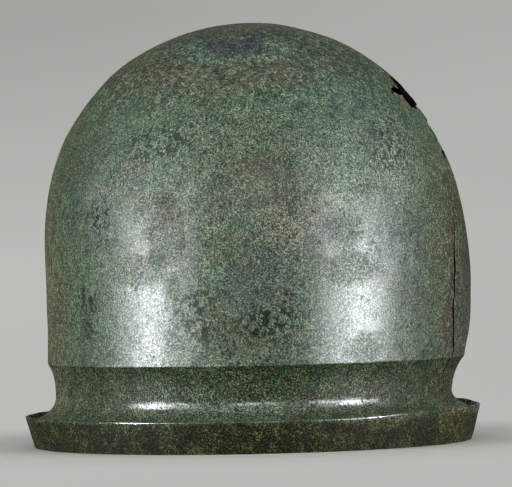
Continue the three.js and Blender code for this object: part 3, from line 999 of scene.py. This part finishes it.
room_half = 4.3
room_sides = 96
sweep_radius = 0.3
wall_height = 2.5
sweep_steps = 8
bpy.ops.object.select_all(action="DESELECT")
bpy.ops.mesh.primitive_circle_add(
    vertices=room_sides, radius=room_half, fill_type="NGON", enter_editmode=True
)
floor = bpy.context.object
floor.name = "floor"
bpy.ops.mesh.region_to_loop()
half, height = room_half, 0
for i in range(sweep_steps + 1):
    turn = math.pi / 2 * min(1, (i + 1) / sweep_steps)
    wider = room_half + sweep_radius * math.sin(turn)
    higher = sweep_radius * (1 - math.cos(turn)) + (wall_height if i == sweep_steps else 0)
    bpy.ops.mesh.extrude_region_move(TRANSFORM_OT_translate={"value": (0, 0, higher - height)})
    widen = (wider / half, wider / half, 1)
    bpy.ops.transform.resize(value=widen, center_override=(0, 0, higher))
    half, height = wider, higher
bpy.ops.mesh.select_all(action="SELECT")
bpy.ops.mesh.normals_make_consistent(inside=True)
bpy.ops.object.mode_set(mode="OBJECT")
bpy.ops.object.shade_smooth()


pale_grey = srgb(236, 237, 231)  # as it is seen, and mirrored from behind the helmet
dim_grey = srgb(120, 121, 118)  # as it lights the helmet, so that it doesn't glow back
low_greys = srgb(188, 189, 184), srgb(184, 185, 180)  # left and right in the picture
high_greys = srgb(163, 164, 159), srgb(173, 174, 169)
grey_heights = 0.082, 0.465  # where the wall starts and ends to darken


def backdrop_grey():
    """A pale matt grey, which stays even far off and darkens a little upwards."""
    material, tree, shader, place = blank_material("backdrop_grey")
    across, back, up = add_node(tree, "SeparateXYZ", {0: place}).outputs
    behind = ramp(tree, sums(tree, "ABSOLUTE", across), 0.9, 0.45)
    behind = sums(tree, "MULTIPLY", behind, ramp(tree, back, 0, 0.5))
    path = add_node(tree, "LightPath").outputs
    seen = sums(tree, "MULTIPLY", path["Is Glossy Ray"], behind)
    seen = sums(tree, "MAXIMUM", seen, path["Is Camera Ray"])
    seen = sums(tree, "MAXIMUM", seen, path["Is Transmission Ray"])
    shade = tint(tree, seen, dim_grey, pale_grey)
    tree.links.new(shade, shader.inputs["Base Color"])
    shader.inputs["Roughness"].default_value = 0.95
    shader.inputs["Specular IOR Level"].default_value = 0.1
    to_right = ramp(tree, across, -0.44, 0.44)
    low, high = tint(tree, to_right, *low_greys), tint(tree, to_right, *high_greys)
    rise = add_node(tree, "MapRange", {0: up, 1: grey_heights[0], 2: grey_heights[1]}).outputs[0]
    glow = add_node(tree, "Emission", {"Color": tint(tree, rise, low, high)})
    far = sums(tree, "MULTIPLY", ramp(tree, distance_of(tree, place), 0.12, 0.27), seen)
    blend = add_node(tree, "MixShader", {0: far, 1: shader.outputs[0], 2: glow.outputs[0]})
    tree.links.new(blend.outputs[0], tree.nodes["Material Output"].inputs["Surface"])
    return material


floor.data.materials.append(backdrop_grey())


def soft_lamp(name, azimuth, foot, top, distance, width, brightness):
    """An upright rectangular lamp that faces the helmet, at an angle off the camera."""
    turn = math.radians(azimuth)
    middle = Vector((math.sin(turn) * distance, -math.cos(turn) * distance, (foot + top) / 2))
    data = bpy.data.lights.new(name, "AREA")
    data.shape = "RECTANGLE"
    data.size = width
    data.size_y = top - foot
    data.energy = brightness * math.pi * width * (top - foot)
    lamp = bpy.data.objects.new(name, data)
    bpy.context.scene.collection.objects.link(lamp)
    lamp.location = middle
    outward = middle - Vector((0, 0, crown / 2))
    lamp.rotation_euler = outward.to_track_quat("Z", "Y").to_euler()
    lamp.visible_camera = False
    return lamp


gleam_colour = (0.9, 0.95, 1)
for side, turned in (("left", -1), ("right", 1)):
    soft_lamp(
        side + "_lamp", 52 * turned,
        foot=0.004, top=0.4, distance=0.85, width=0.5, brightness=3.6 - 0.15 * turned,
    )
    soft_lamp(
        side + "_high_lamp", 52 * turned,
        foot=0.42, top=1.0, distance=1.1, width=0.5, brightness=1.2,
    )
    low_lamp = soft_lamp(
        side + "_low_lamp", 59 * turned + 1.5,
        foot=0.004, top=0.036, distance=0.55, width=0.12, brightness=160,
    )
    middle_lamp = soft_lamp(
        side + "_middle_lamp", 70 * turned,
        foot=0.3, top=0.75, distance=1.0, width=0.26, brightness=8.5,
    )
    for gleam in (low_lamp, middle_lamp):
        gleam.data.color = gleam_colour
        gleam.visible_diffuse = False  # these only put the gleams on the bronze
soft_lamp("front_lamp", 0, foot=0.6, top=1.4, distance=2.4, width=1.2, brightness=2.3)
back_lamp = soft_lamp(
    "back_lamp", 180, foot=0.02, top=0.7, distance=1.6, width=2.2, brightness=1.9
)
back_lamp.visible_glossy = False  # or it would pale the bowl's edges seen from the front

world = bpy.data.worlds.new("room")
world.use_nodes = True
bpy.context.scene.world = world
background = world.node_tree.nodes["Background"]
background.inputs["Color"].default_value = (1, 1, 1, 1)
background.inputs["Strength"].default_value = 0.3

# The camera
# Level with the middle of the helmet, far off with a long lens, and rolled a little.

picture_width = 512  # pixels
brim_in_picture = 454.6
pixel = 2 * rim_half / brim_in_picture  # the real width that a pixel shows
sensor_width = 36
camera_distance = 2.2
camera_height = 0.1013
camera_aside = 0.0034
camera_roll = math.radians(1.2)
camera_data = bpy.data.cameras.new("camera")
camera_data.sensor_width = sensor_width
camera_data.lens = sensor_width * camera_distance / (picture_width * pixel)
camera_data.clip_end = 50
camera = bpy.data.objects.new("camera", camera_data)
bpy.context.scene.collection.objects.link(camera)
camera.location = (camera_aside, -camera_distance, camera_height)
camera.rotation_euler = (math.pi / 2, camera_roll, 0)
bpy.context.scene.camera = camera
bpy.context.scene.view_settings.view_transform = "Standard"
